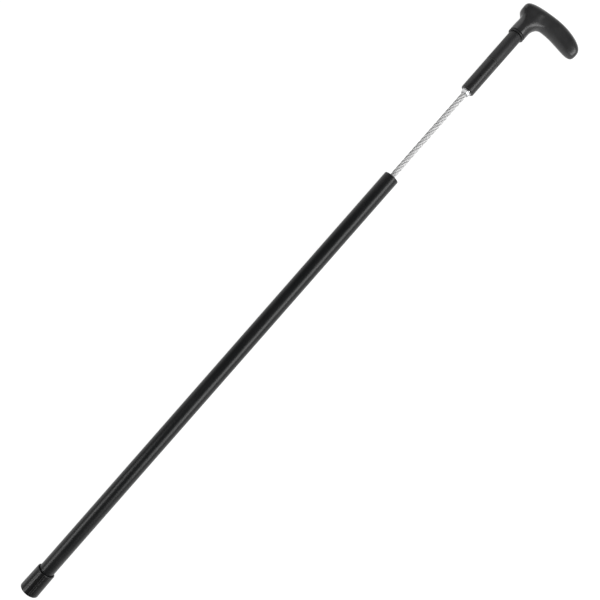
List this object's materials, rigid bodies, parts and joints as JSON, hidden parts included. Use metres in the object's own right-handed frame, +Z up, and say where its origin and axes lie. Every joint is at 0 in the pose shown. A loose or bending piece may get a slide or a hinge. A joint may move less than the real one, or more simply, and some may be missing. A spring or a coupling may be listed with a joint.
{
  "type": "walking stick with wire-rope core",
  "caption": "Straight black walking stick with a ribbed rubber tip; its handle and round grip draw a steel wire rope out of the hollow shaft.",
  "frame": {"origin": "centre of the rubber tip's ground face, on the axis of the shaft", "axes": "+X along the shaft from the ground end to the handle, -Y towards the end of the handle's long arm, +Z up from the surface the stick lies on"},
  "size_m": [1.2029, 0.1108, 0.0324],
  "materials": {
    "rubber": "matte",
    "tube_coating": "satin",
    "plain_steel": "plain",
    "nylon": "matte",
    "bright_steel": "bright",
    "rope_wire": "bright drawn wire",
    "chrome": "polished",
    "sleeve_satin": "satin",
    "sleeve_matt": "matte",
    "handle_moulding": "satin",
    "brass": "turned"
  },
  "bodies": {
    "shaft": {"rubber_tip": "rubber", "tip_seat_disc": "plain_steel", "shaft_tube": "tube_coating", "end_plug": "nylon", "plug_pin": "plain_steel", "rope_bumper": "rubber"},
    "slide_ring": {"friction_ring": "rubber"},
    "handle_set": {"wire_rope": "rope_wire", "rope_end_cap": "bright_steel", "rope_socket": "bright_steel", "socket_pin": "bright_steel", "rope_nut": "chrome", "nut_washer": "chrome", "grip_core": "plain_steel", "lower_sleeve": "sleeve_satin", "upper_sleeve": "sleeve_matt", "lock_screw": "plain_steel", "stop_collar": "sleeve_satin", "neck_gasket": "rubber", "threaded_insert": "brass", "handle_stud": "plain_steel", "handle": "handle_moulding"}
  },
  "joints": [
    {"name": "handle_slide", "type": "slide", "parent": "shaft", "child": "slide_ring", "axis": [1, 0, 0], "range_m": [-0.2911, 0.459]},
    {"name": "handle_spin", "type": "hinge", "parent": "slide_ring", "child": "handle_set", "pos_m": [1.1429, 0, 0], "axis": [-1, 0, 0], "continuous": true}
  ]
}
